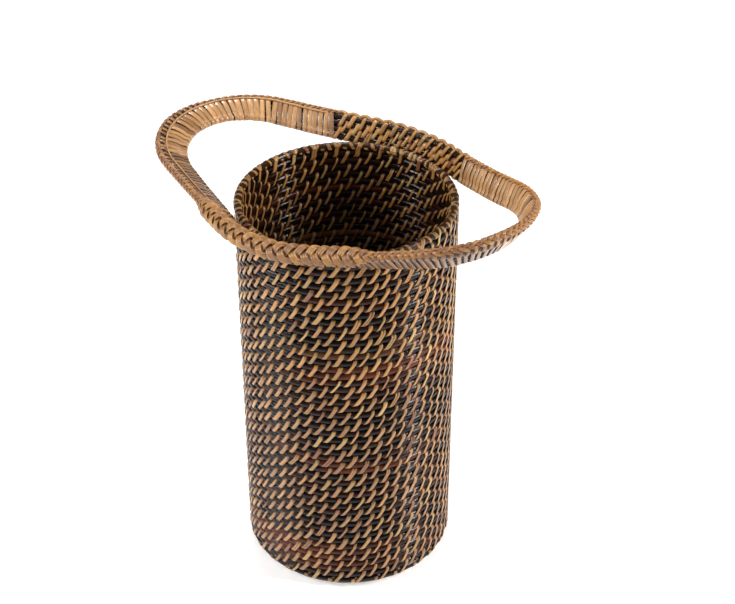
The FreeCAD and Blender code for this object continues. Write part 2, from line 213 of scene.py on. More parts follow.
class Finish:
    """A material whose nodes are added one by one."""

    def __init__(self, name):
        self.material = bpy.data.materials.new(name)
        self.material.use_nodes = True
        self.tree = self.material.node_tree
        self.shader = self.tree.nodes["Principled BSDF"]

    def node(self, kind, settings=None, output=0, **values):
        """Adds a node: its settings first, then the values or links of its sockets."""
        node = self.tree.nodes.new(kind)
        for name, value in (settings or {}).items():
            setattr(node, name, value)
        for name, value in values.items():
            self.feed(node.inputs[name], value)
        return Socket(self.tree, node.outputs[output])

    def feed(self, slot, value):
        if isinstance(value, Socket):
            self.tree.links.new(value.socket, slot)
        else:
            slot.default_value = value

    def shade(self, **values):
        """Sets sockets of the shader; an underscore stands for a space."""
        for name, value in values.items():
            self.feed(self.shader.inputs[name.replace("_", " ")], value)


def strip_parts(finish):
    """Position across a strip from -1 to 1, metres along it, and its own number."""
    run = finish.node("ShaderNodeAttribute", {"attribute_name": "run"}, output=1)
    return [finish.node("ShaderNodeSeparateXYZ", output=axis, Vector=run) for axis in range(3)]


def peel_finish(name, fibres, gloss, coat, edge_shade, grain):
    """Split rattan peel: fine fibres along it, painted shade darkening its edges, and a waxy gloss."""
    finish = Finish(name)
    across, along, number = strip_parts(finish)
    dye = finish.node("ShaderNodeAttribute", {"attribute_name": "dye"}, output=0)
    place = finish.node("ShaderNodeCombineXYZ", X=across * fibres, Y=along * 45, Z=number * 61)
    fibre = finish.node("ShaderNodeTexNoise", Vector=place, Scale=1.0, Detail=3.0, Roughness=0.6)
    spot = finish.node("ShaderNodeCombineXYZ", X=across * 1.3, Y=along * 160, Z=number * 23)
    mottle = finish.node("ShaderNodeTexNoise", Vector=spot, Scale=1.0, Detail=2.0)
    # painted shade: each strip darkens towards both edges, by edge_shade at the very edge
    square = across * across
    edge = square * square
    shade = (1 - edge * edge_shade) * (1 - grain / 2 + fibre * grain) * (0.72 + mottle * 0.56)
    tint = finish.node("ShaderNodeVectorMath", {"operation": "SCALE"}, Vector=dye, Scale=shade)
    bump = finish.node("ShaderNodeBump", Strength=0.35, Distance=0.0003, Height=fibre)
    finish.shade(Base_Color=tint, Roughness=gloss + fibre * 0.22, Normal=bump)
    finish.shade(Coat_Weight=coat, Coat_Roughness=0.18, Specular_IOR_Level=0.5)
    return finish.material


def core_finish(name):
    """Dark rattan core: long open grain with a worn, waxy sheen."""
    finish = Finish(name)
    across, along, number = strip_parts(finish)
    dye = finish.node("ShaderNodeAttribute", {"attribute_name": "dye"}, output=0)
    place = finish.node("ShaderNodeCombineXYZ", X=across * 9, Y=along * 30, Z=number * 47)
    grain = finish.node("ShaderNodeTexNoise", Vector=place, Scale=1.0, Detail=4.0, Roughness=0.65)
    wear = finish.node("ShaderNodeCombineXYZ", X=across * 2, Y=along * 90, Z=number * 19)
    patch = finish.node("ShaderNodeTexNoise", Vector=wear, Scale=1.0, Detail=2.0)
    tint = finish.node("ShaderNodeVectorMath", {"operation": "SCALE"},
                       Vector=dye, Scale=0.25 + grain * 0.8 + patch * 0.7)
    bump = finish.node("ShaderNodeBump", Strength=0.5, Distance=0.0005, Height=grain + patch * 0.5)
    finish.shade(Base_Color=tint, Roughness=0.09 + grain * 0.16, Normal=bump)
    finish.shade(Specular_IOR_Level=0.24)
    return finish.material


def floor_finish(colour):
    finish = Finish("pale_floor")
    finish.shade(Base_Color=(*colour, 1.0), Roughness=0.8, Specular_IOR_Level=0.1)
    finish.shade(Emission_Color=(1, 1, 1, 1), Emission_Strength=0.5)
    return finish.material


FINISHES = {
    "core": (lambda: core_finish("stained_core"), "dark_rod"),
    "peel": (lambda: peel_finish("binding_peel", 7, 0.24, 0.2, 0.6, 0.7), "peel_stitch"),
    "honey": (lambda: peel_finish("honey_peel", 6, 0.18, 0.5, 0.75, 0.6), "honey_wrap"),
    "braid": (lambda: peel_finish("braided_peel", 6, 0.26, 0.2, 0.70, 0.8), "braided_edge"),
}
made_finishes = {}


def finish_of(kind):
    if kind not in made_finishes:
        made_finishes[kind] = FINISHES[kind][0]()
    return made_finishes[kind]


# ------------------------------------------------------------------------------------ weaving

RING_SEGMENTS = 144

# half width and thickness of a peel strip's section, from one edge over its crown to the other
PEEL = np.array([(-1, 0), (-0.96, 0.65), (-0.75, 0.93), (0, 1.0), (0.75, 0.93), (0.96, 0.65), (1, 0)])


def round_section(sides):
    turn = np.linspace(0, -2 * math.pi, sides, endpoint=False)
    return np.stack([np.cos(turn), np.sin(turn)], axis=1)


def unit(vectors):
    return vectors / np.linalg.norm(vectors, axis=-1, keepdims=True)


class Weave:
    """Gathers swept strips and rods into one mesh, each with its dye and its place along it."""

    def __init__(self):
        self.points = []
        self.faces = []
        self.runs = []
        self.dyes = []
        self.count = 0

    def sweep(self, path, across, outward, section, dye, closed=False):
        """Draws a section along a path. across and outward point along the section's two axes.

        dye is one colour, or one for each point of the path.
        """
        steps = len(path)
        sides = section.shape[-2]
        section = np.broadcast_to(section, (steps, sides, 2))
        points = (path[:, None] + section[..., :1] * across[:, None]
                  + section[..., 1:] * outward[:, None])
        grid = self.count + np.arange(steps * sides).reshape(steps, sides)
        forward = np.einsum("ij,ij->i", np.cross(across, outward)[:-1], np.diff(path, axis=0)).sum()
        if forward > 0:
            grid = grid[:, ::-1]
        rows = np.vstack([grid, grid[:1]]) if closed else grid
        turned = np.roll(rows, -1, axis=1)
        quads = np.stack([rows[:-1], turned[:-1], turned[1:], rows[1:]], axis=-1)
        self.faces += quads.reshape(-1, 4).tolist()
        if not closed:
            self.faces.append(grid[0][::-1].tolist())
            self.faces.append(grid[-1].tolist())
        along = np.concatenate([[0], np.cumsum(np.linalg.norm(np.diff(path, axis=0), axis=1))])
        half = np.abs(section[..., 0]).max()
        run = np.empty((steps, sides, 3))
        run[..., 0] = section[..., 0] / half
        run[..., 1] = along[:, None]
        run[..., 2] = (len(self.runs) * 0.618) % 1 + len(self.runs) % 7
        self.points.append(points.reshape(-1, 3))
        self.runs.append(run.reshape(-1, 3))
        dyes = np.ones((steps, sides, 4))
        dyes[..., :3] = np.asarray(dye).reshape(-1, 1, 3)
        self.dyes.append(dyes.reshape(-1, 4))
        self.count += steps * sides

    def finish(self, name, kind, *nodes):
        """Makes the mesh, in one finish, in place of the frame's nodes."""
        mesh = bpy.data.meshes.new(name)
        mesh.from_pydata(np.concatenate(self.points).tolist(), [], self.faces)
        run = mesh.attributes.new("run", "FLOAT_VECTOR", "POINT")
        run.data.foreach_set("vector", np.concatenate(self.runs).ravel())
        dye = mesh.attributes.new("dye", "FLOAT_COLOR", "POINT")
        dye.data.foreach_set("color", np.concatenate(self.dyes).ravel())
        mesh.polygons.foreach_set("use_smooth", [True] * len(mesh.polygons))
        mesh.materials.append(finish_of(kind))
        piece = bpy.data.objects.new(name, mesh)
        bpy.context.scene.collection.objects.link(piece)
        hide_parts(*nodes)
        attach(piece, BODY)
        return piece


def wander(rng, count, size, waves=3):
    """A smooth closed random line of the given number of values."""
    turn = np.linspace(0, 2 * math.pi, count, endpoint=False)
    line = np.zeros(count)
    for wave in range(1, waves + 1):
        line += rng.uniform(-1, 1) * np.sin(wave * turn + rng.uniform(0, 2 * math.pi)) / wave
    return line * size


def blend(first, second, share):
    """A colour between two, or a row of them."""
    share = np.asarray(share)[..., None]
    return np.asarray(first) * (1 - share) + np.asarray(second) * share


def over_pair(span, radius, waist=math.radians(15), steps=5):
    """Half a stitch over two rods, as (distance towards the second rod, height over them).

    It starts and ends between the rods, and is drawn in a little at its waist.
    """
    low = np.linspace(-math.pi / 2, waist, steps)
    high = np.linspace(-waist, math.pi / 2, steps)
    turn = np.concatenate([low, high])
    along = radius * np.sin(turn)
    along[steps:] += span
    over = radius * np.cos(turn)
    return along, over, np.sin(turn), np.cos(turn)


def round_pair(span, first, second, steps=6):
    """A closed loop round two rods, as (distance, height) and the outward directions."""
    turn = np.concatenate([np.linspace(math.pi / 2, 1.5 * math.pi, steps),
                           np.linspace(-math.pi / 2, math.pi / 2, steps)])
    radius = np.repeat([first, second], steps)
    along = radius * np.cos(turn)
    along[steps:] += span
    return along, radius * np.sin(turn), np.cos(turn), np.sin(turn)


def s_curve(along):
    """Sideways share of a stitch's lean: upright near its top, curled near its foot."""
    share = (along - along.min()) / np.ptp(along)
    return 0.55 * share + 0.45 * (1 - (1 - share) ** 2) - 0.5


def cylinder(radius, angle, height):
    return np.stack([radius * np.cos(angle), radius * np.sin(angle), height + 0 * angle], axis=-1)


def ring(weave, rng, radius, height, dye, shape, wobble=0.0003, sides=10):
    """One course of rod. shape stretches its section, outwards and upwards, to meet the next rod."""
    angle = np.linspace(0, 2 * math.pi, RING_SEGMENTS, endpoint=False)
    centre = cylinder(radius + wander(rng, RING_SEGMENTS, wobble, 5), angle,
                      height + wander(rng, RING_SEGMENTS, wobble / 2, 5))
    outward = cylinder(1.0, angle, 0 * angle)
    upward = np.zeros_like(outward)
    upward[:, 2] = 1
    thick = ROD * (1 + wander(rng, RING_SEGMENTS, 0.02, 9))
    section = (round_section(sides) * shape)[None] * thick[:, None, None]
    weave.sweep(centre, outward, upward, section, dye, closed=True)


def stitch_section(rng, width, thick):
    """A strip's section, and at times two narrow strips side by side."""
    width = width * rng.gauss(1, 0.09)
    kind = rng.random()
    if kind < 0.07:
        narrow = PEEL * (width * 0.27, thick)
        gap = (width * 0.31, 0)
        return [narrow - gap, narrow + gap]
    if kind < 0.16:
        width *= 0.68
    return [PEEL * (width / 2, thick * rng.uniform(0.85, 1.15))]


def peel_dye(rng, colours, height_share):
    """Golden near the rim and pinker below, with a few pale and a few dark strips."""
    lower = min(1, max(0, (0.78 - height_share) / 0.3))
    dye = blend(colours.gold, colours.tan, min(1, max(0, lower + rng.uniform(-0.45, 0.45))))
    kind = rng.random()
    if kind < 0.14:
        dye = blend(dye, colours.straw, rng.uniform(0.4, 1))
    elif kind < 0.22:
        dye = blend(dye, colours.russet, rng.uniform(0.25, 0.9))
    return dye * rng.uniform(0.72, 1.12)


def course_radius(row):
    """Radius and height of a course: 0 is the base's edge and the last is the rim."""
    if row == 0:
        return BASE_EDGE, BASE_Z
    if row > COURSES:
        return COIL, RIM_Z
    return COIL, FIRST_Z + (row - 1) * COURSE


def row_phase(row, wall):
    return row * (math.pi / wall.stitches + wall.drift / COIL)


def ring_strip(weave, first, second, angle, along, over, tip, lift, shift, sections, dye):
    """A strip laid over two courses, each given as (radius, height)."""
    span = math.hypot(second[0] - first[0], second[1] - first[1])
    way = ((second[0] - first[0]) / span, (second[1] - first[1]) / span)
    radius = first[0] + along * way[0] + over * way[1]
    height = first[1] + along * way[1] - over * way[0]
    turn = angle + shift / np.maximum(radius, COIL / 20)
    path = cylinder(radius, turn, height)
    across = cylinder(1.0, turn + math.pi / 2, 0 * turn)
    outward = cylinder(tip * way[0] + lift * way[1], turn, tip * way[1] - lift * way[0])
    # painted shade: each strip's dye darkens to 0.38 of itself towards its ends, where it tucks between
    # the rods
    darkened = blend(dye * 0.38, dye, np.abs(lift) ** 0.7)
    for section in sections:
        weave.sweep(path, across, outward, section, darkened)


def wall_row(weave, rng, row, wall, colours):
    """One row of stitches: a lean outside, and the same lean seen from inside."""
    first = course_radius(row)
    second = course_radius(row + 1)
    span = math.hypot(second[0] - first[0], second[1] - first[1])
    along, over, tip, lift = over_pair(span, ROD)
    pitch = 2 * math.pi / wall.stitches
    share = second[1] / RIM_Z
    for index in range(wall.stitches):
        angle = row_phase(row, wall) + (index + rng.gauss(0, 0.022)) * pitch
        lean = wall.lean * rng.uniform(0.85, 1.12)
        dye = peel_dye(rng, colours, share)
        sections = stitch_section(rng, wall.width, wall.thick)
        ring_strip(weave, first, second, angle, along, over, tip, lift,
                   s_curve(along) * lean, sections, dye)
        inside = [section * (0.72, 1) for section in sections]
        # the inside strips are also painted 10% darker, as shade for the basket's shaded inside
        ring_strip(weave, first, second, angle + pitch / 2, along, -over, tip, -lift,
                   -s_curve(along) * lean * 0.8, inside, dye * 0.9)


def rim_strips(weave, rng, wall, colours):
    """The last row passes over the rim, and wraps fill the rod between its stitches."""
    first = course_radius(COURSES)
    second = course_radius(COURSES + 1)
    span = second[1] - first[1]
    along, over, tip, lift = over_pair(span, ROD)
    full = (np.concatenate([along, along[::-1][1:]]), np.concatenate([over, -over[::-1][1:]]),
            np.concatenate([tip, tip[::-1][1:]]), np.concatenate([lift, -lift[::-1][1:]]))
    sway = np.linspace(-0.5, 1.5, len(full[0]))
    pitch = 2 * math.pi / wall.stitches
    for index in range(wall.stitches):
        angle = row_phase(COURSES, wall) + (index + rng.gauss(0, 0.02)) * pitch
        sections = stitch_section(rng, wall.width, wall.thick)
        ring_strip(weave, first, second, angle, *full, sway * wall.lean * 0.9, sections,
                   peel_dye(rng, colours, 1.0))
    turn = np.linspace(-math.pi, math.pi, 15)
    tip, lift = np.cos(turn + math.pi / 2), np.sin(turn + math.pi / 2)
    above = (second[0], second[1] + 1)
    for place in (1, 2):
        for index in range(wall.stitches):
            angle = row_phase(COURSES, wall) + (index + place / 3 + rng.gauss(0, 0.03)) * pitch
            angle += wall.lean * 0.4 / COIL
            shift = turn / math.pi * wall.lean * 0.42
            sections = stitch_section(rng, wall.width * 0.86, wall.thick)
            dye = peel_dye(rng, colours, 1.0) * 0.95
            ring_strip(weave, second, above, angle, ROD * tip, ROD * lift, tip, lift, shift,
                       sections, dye)


# ---------------------------------------------------------------------------- the handle band

class Band:
    """The surface that the handle band's rods lie in: metres along the inner rod, and outwards."""

    def __init__(self, handle, samples=1600):
        self.handle = handle
        self.centre = HANDLE_REACH - handle.rounding
        self.turn = math.acos((handle.seat - handle.rounding) / self.centre)
        side = self.centre * math.sin(self.turn)
        end = self.turn * handle.rounding
        middle = (math.pi - 2 * self.turn) * handle.seat
        self.length = 4 * (end + side) + 2 * middle
        marks = np.cumsum([0, end, side, middle, side, end])
        distance = np.linspace(0, self.length / 2, samples)
        piece = np.searchsorted(marks[1:-1], distance, side="right")
        inside = distance - marks[piece]
        share = inside / np.diff(marks)[piece]
        flat = math.pi - self.turn
        angle = np.choose(piece, [-math.pi + inside / handle.rounding, -flat + 0 * inside,
                                  -flat + inside / handle.seat, -self.turn + 0 * inside,
                                  -self.turn + inside / handle.rounding])
        origin = np.choose(piece, [-self.centre + 0 * inside, -self.centre * (1 - share), 0 * inside,
                                   self.centre * share, self.centre + 0 * inside])
        radius = np.choose(piece, [handle.rounding + 0 * inside,
                                   handle.rounding * (1 - share) + handle.seat * share,
                                   handle.seat + 0 * inside,
                                   handle.seat * (1 - share) + handle.rounding * share,
                                   handle.rounding + 0 * inside])
        self.distance = distance
        self.table = np.stack([origin + radius * np.cos(angle), radius * np.sin(angle),
                               np.cos(angle), np.sin(angle)])

    def point(self, distance, offset):
        """A point of the band, from the left end past the front, the right end and the back."""
        handle = self.handle
        distance = np.mod(distance, self.length)
        behind = distance > self.length / 2
        walked = np.where(behind, self.length - distance, distance)
        x, y, out_x, out_y = [np.interp(walked, self.distance, row) for row in self.table]
        y = np.where(behind, -y, y)
        out_y = np.where(behind, -out_y, out_y)
        share = np.minimum(1, np.abs(x) / HANDLE_REACH)
        late = share ** 1.3
        side_flare = np.where(x < 0, handle.flare_left, handle.flare_right)
        middle_flare = np.where(behind, handle.flare_back, handle.flare_front)
        slope = middle_flare * (1 - late) + side_flare * late
        rise = np.where(x < 0, handle.rise_left, handle.rise_right) * share ** 1.85
        level = RIM_Z - handle.drop + rise
        out = offset * np.cos(slope)
        return np.stack([x + out_x * out, y + out_y * out, level + offset * np.sin(slope)], axis=-1)

    def stitched(self, distance):
        """True along the stitched middle of the front and of the back."""
        x, y = self.point(distance, 0.0)[:2]
        left = self.handle.stitched_left if y > 0 else self.handle.stitched
        return -left < x < self.handle.stitched

    def back_ends(self):
        """Where the stitched middle of the back starts and ends along the band."""
        walk = np.linspace(0.5, 1, 900) * self.length
        x = self.point(walk, np.zeros(900))[:, 0]
        inside = walk[(x < self.handle.stitched) & (x > -self.handle.stitched_left)]
        return inside[0], inside[-1]

    def axes(self, distance, offset):
        """Unit directions along the band, across it and off its upper face."""
        step = 0.0004
        along = unit(self.point(distance + step, offset) - self.point(distance - step, offset))
        across = unit(self.point(distance, offset + step) - self.point(distance, offset - step))
        upward = unit(np.cross(along, across))
        upward = np.where(upward[..., 2:] < 0, -upward, upward)
        return along, across, upward

    def lay(self, weave, distance, offset, height, tip, lift, sections, dye, closed=False):
        """A strip laid over the band: its path by offset and height, its outward by tip and lift."""
        along, across, upward = self.axes(distance, offset)
        path = self.point(distance, offset) + upward * height[:, None]
        outward = across * tip[:, None] + upward * lift[:, None]
        for section in sections:
            weave.sweep(path, along, outward, section, dye, closed)


def band_rod(band, weave, rng, offset, dye):
    count = 420
    distance = np.linspace(0, band.length, count, endpoint=False)
    offset = np.full(count, offset)
    along, across, upward = band.axes(distance, offset)
    thick = HANDLE_ROD * (SNUG_HANDLE + wander(rng, count, 0.02, 9))
    section = round_section(10)[None] * thick[:, None, None]
    weave.sweep(band.point(distance, offset), across, upward, section, dye, closed=True)


def wrap_outline(pitch):
    """A handle wrap's path round the band, as offsets and heights, and its outward directions."""
    span = (HANDLE_RODS - 1) * pitch
    near = HANDLE_ROD + 0.0002
    inner = np.radians(np.array([-90, -120, -150, 180, 150, 120, 90, 70]))
    outer = np.radians(np.array([80, 50, 20, -10, -40, -70, -90]))
    offset = np.concatenate([near * np.cos(inner), span * np.array([0.19, 0.3, 0.46, 0.63, 0.8]),
                             span + near * np.cos(outer), span * np.array([0.7, 0.4])])
    height = np.concatenate([near * np.sin(inner), near * np.array([0.86, 1.08, 1.24, 1.27, 1.2]),
                             near * np.sin(outer), near * np.array([-1.02, -1.02])])
    slope_x = np.roll(offset, -1) - np.roll(offset, 1)
    slope_y = np.roll(height, -1) - np.roll(height, 1)
    size = np.hypot(slope_x, slope_y)
    return offset, height, -slope_y / size, slope_x / size


class Tools:
    """What every weaving operator starts from."""

    def __init__(self, context, seed):
        scene = context.scene
        self.wall = scene.rattan_wall
        self.handle = scene.rattan_handle
        self.braid = scene.rattan_braid
        self.colours = scene.rattan_colours
        self.rng = random.Random(seed)
        self.weave = Weave()


class RATTAN_OT_wall_rods(bpy.types.Operator):
    """Coil the dark core up the wall"""
    bl_idname = "rattan.wall_rods"
    bl_label = "Wall rods"

    # middle height, half height and strength of the places where the stain is thin
    THIN_STAIN = ((0.415, 0.006, 0.5), (0.316, 0.011, 0.95), (0.190, 0.013, 0.9), (0.045, 0.024, 0.8),
                  (0.250, 0.004, 0.5), (0.120, 0.005, 0.5))
    WORN_STAIN = ((0.350, 0.006, 0.8), (0.222, 0.004, 0.4))

    def stain(self, rng, colours, height):
        """Dark core, redder or browner in patches on the courses where the stain is thin."""
        tinge = np.clip(rng.uniform(-0.02, 0.08) + wander(rng, RING_SEGMENTS, 0.12, 12), 0, 1)
        dye = blend(colours.core, colours.red_core, tinge)
        stains = ((self.THIN_STAIN, colours.red_core), (self.WORN_STAIN, colours.brown_core))
        for spots, colour in stains:
            for middle, half, strength in spots:
                if abs(height - middle) < half:
                    patch = np.clip(0.35 + wander(rng, RING_SEGMENTS, 0.9, 14), 0, 1)
                    dye = dye + blend((0, 0, 0), colour, patch * strength * 0.8)
        return dye

    def execute(self, context):
        for group, name in enumerate(WALL_GROUPS):
            tools = Tools(context, 100 + group)
            for course in range(GROUP_COURSES):
                radius, height = course_radius(group * GROUP_COURSES + course + 1)
                dye = self.stain(tools.rng, tools.colours, height)
                tall = SNUG_TOP if height > TOP_Z - ROD else SNUG_COURSE
                ring(tools.weave, tools.rng, radius, height, dye, (1.0, tall))
            tools.weave.finish("wall_core_%02d" % (group + 1), "core", name)
        return {"FINISHED"}


class RATTAN_OT_wall_stitches(bpy.types.Operator):
    """Bind each course of the wall to the next with leaning stitches"""
    bl_idname = "rattan.wall_stitches"
    bl_label = "Wall stitches"

    def execute(self, context):
        groups = np.array_split(np.arange(COURSES), len(WALL_STITCHES))
        for group, (rows, name) in enumerate(zip(groups, WALL_STITCHES), start=1):
            tools = Tools(context, 300 + group)
            for row in rows:
                wall_row(tools.weave, tools.rng, row, tools.wall, tools.colours)
            tools.weave.finish("wall_peel_%02d" % group, "peel", name)
        return {"FINISHED"}


class RATTAN_OT_base(bpy.types.Operator):
    """Coil and bind the base"""
    bl_idname = "rattan.base"
    bl_label = "Base"

    def execute(self, context):
        tools = Tools(context, 20)
        colours = tools.colours
        radii = [max(BASE_EDGE - index * BASE_PITCH, ROD * 1.1) for index in range(BASE_RINGS)]
        dye = blend(colours.core, colours.red_core, 0.15)
        for radius in radii:
            ring(tools.weave, tools.rng, radius, BASE_Z, dye, (SNUG_BASE, 1.0))
        tools.weave.finish("base_core", "core", *BASE_GROUPS)
        binding = Weave()
        stitches = tools.wall.stitches
        for row in range(BASE_RINGS - 1):
            two_in = radii[min(row + 2, BASE_RINGS - 1)]
            if row % 2 and math.pi * two_in / stitches < tools.wall.width:
                stitches = max(7, stitches // 2)
            inner, outer = (radii[row + 1], BASE_Z), (radii[row], BASE_Z)
            along, over, tip, lift = over_pair(outer[0] - inner[0], ROD)
            for index in range(stitches):
                angle = (index + (0.5 if row % 2 == 0 else 0)) * 2 * math.pi / stitches
                sections = stitch_section(tools.rng, tools.wall.width, tools.wall.thick)
                colour = peel_dye(tools.rng, colours, 0.2)
                for side in (1, -1):
                    ring_strip(binding, inner, outer, angle, along, over * side, tip, lift * side,
                               s_curve(along) * tools.wall.width * side / 2, sections, colour)
        binding.finish("base_peel", "peel", "base_centre", "base_stitches", "base_edge_stitches")
        return {"FINISHED"}


class RATTAN_OT_rim(bpy.types.Operator):
    """Bind the rim rod and lash the handle band to it"""
    bl_idname = "rattan.rim"
    bl_label = "Rim"

    def execute(self, context):
        tools = Tools(context, 40)
        colours = tools.colours
        dye = blend(colours.core, colours.brown_core, 0.2)
        ring(tools.weave, tools.rng, COIL, RIM_Z, dye, (1.0, SNUG_RIM))
        tools.weave.finish("rim_core", "core", "rim_rod")
        binding = Weave()
        rim_strips(binding, tools.rng, tools.wall, colours)
        binding.finish("rim_peel", "peel", "rim_wrap")
        lashing = Weave()
        band = Band(tools.handle)
        for quarter in (0.25, 0.75):
            for place in np.arange(-3, 4) * tools.handle.lash_spacing:
                self.lash(lashing, band, tools, quarter * band.length + place)
        lashing.finish("rim_lashing_peel", "peel", "rim_lashings")
        return {"FINISHED"}

    def lash(self, weave, band, tools, distance):
        """A loop of peel round the rim rod and the inner rod of the band."""
        rod = band.point(distance, 0.0)
        angle = math.atan2(rod[1], rod[0])
        rim = cylinder(COIL, np.array([angle]), np.array([RIM_Z]))[0]
        way = rod - rim
        span = np.linalg.norm(way)
        way = way / span
        side = np.array([-math.sin(angle), math.cos(angle), 0])
        lift = np.cross(side, way) * -1
        along, over, tip, rise = round_pair(span, ROD, HANDLE_ROD)
        path = rim + along[:, None] * way + over[:, None] * lift
        path += (over * 0.35)[:, None] * side
        outward = tip[:, None] * way + rise[:, None] * lift
        across = np.broadcast_to(side, path.shape)
        dye = peel_dye(tools.rng, tools.colours, 1.0)
        for section in stitch_section(tools.rng, tools.wall.width * 0.9, tools.wall.thick):
            weave.sweep(path, across, outward, section, dye, closed=True)


class RATTAN_OT_handle_rods(bpy.types.Operator):
    """Bend the four rods of the handle band"""
    bl_idname = "rattan.handle_rods"
    bl_label = "Handle rods"

    def execute(self, context):
        for index in range(HANDLE_RODS):
            tools = Tools(context, 60 + index)
            band = Band(tools.handle)
            dye = blend(tools.colours.core, tools.colours.brown_core, 0.12)
            band_rod(band, tools.weave, tools.rng, index * tools.handle.pitch, dye)
            tools.weave.finish("band_core_%d" % (index + 1), "core", "handle_rod_%d" % (index + 1))
        return {"FINISHED"}


class RATTAN_OT_handle_wraps(bpy.types.Operator):
    """Wind honey peel round the band at each handle"""
    bl_idname = "rattan.handle_wraps"
    bl_label = "Handle wraps"

    def execute(self, context):
        for side, start in (("left", 0.0), ("right", 0.5)):
            tools = Tools(context, 80 + len(side))
            band = Band(tools.handle)
            handle, rng, colours = tools.handle, tools.rng, tools.colours
            offset, height, tip, lift = wrap_outline(handle.pitch)
            span = (HANDLE_RODS - 1) * handle.pitch
            steps = int(band.length / 4 / handle.wrap_pitch)
            for step in range(-steps, steps + 1):
                middle = start * band.length + (step + rng.gauss(0, 0.05)) * handle.wrap_pitch
                if band.stitched(middle):
                    continue
                slant = rng.gauss(0.0022, 0.0009)
                share = middle / band.length % 1
                darkened = 0.07 < share < 0.17 or 0.34 < share < 0.48
                distance = middle + slant * (offset / span - 0.5) * np.sign(lift + 1e-9)
                ahead = band.point(middle + 0.001, offset) - band.point(middle - 0.001, offset)
                spread = 1 + 0.75 * (np.linalg.norm(ahead, axis=1) / 0.002 - 1)
                width = handle.wrap_width * rng.gauss(0.78 if darkened else 1, 0.07) * spread
                thick = tools.wall.thick * rng.uniform(1.1, 1.5)
                section = PEEL[None] * np.stack([width / 2, 0 * width + thick], -1)[:, None]
                dye = blend(colours.honey, colours.umber, rng.random() ** (0.3 if darkened else 2.2))
                dye = dye * rng.uniform(0.85, 1.15) * (0.78 if darkened else 1)
                band.lay(tools.weave, distance, offset, height, tip, lift, [section], dye, closed=True)
            tools.weave.finish("handle_winding_" + side, "honey", "handle_wrap_" + side)
        return {"FINISHED"}


class RATTAN_OT_handle_stitches(bpy.types.Operator):
    """Stitch the band's rods together at the front and the back"""
    bl_idname = "rattan.handle_stitches"
    bl_label = "Handle stitches"

    def execute(self, context):
        for face, quarter in (("front", 0.25), ("back", 0.75)):
            tools = Tools(context, 90 + len(face))
            band = Band(tools.handle)
            handle, rng = tools.handle, tools.rng
            along, over, tip, lift = over_pair(handle.pitch, HANDLE_ROD * SNUG_HANDLE)
            spacing = handle.stitch_spacing
            steps = int(handle.seat / spacing)
            for row in range(HANDLE_RODS - 1):
                for step in range(-steps, steps + 1):
                    place = (step + row * 0.36 + rng.gauss(0, 0.06)) * spacing
                    middle = quarter * band.length + place
                    if not band.stitched(middle):
                        continue
                    lean = s_curve(along) * rng.uniform(0.0055, 0.0085)
                    lean = lean if face == "front" else -lean
                    sections = stitch_section(rng, handle.stitch_width, tools.wall.thick)
                    dye = peel_dye(rng, tools.colours, 1.0)
                    offset = along + row * handle.pitch
                    band.lay(tools.weave, middle + lean, offset, over, tip, lift, sections, dye)
                    band.lay(tools.weave, middle - lean, offset, -over, tip, -lift, sections, dye)
            tools.weave.finish("band_peel_" + face, "peel", "handle_stitches_" + face)
        return {"FINISHED"}


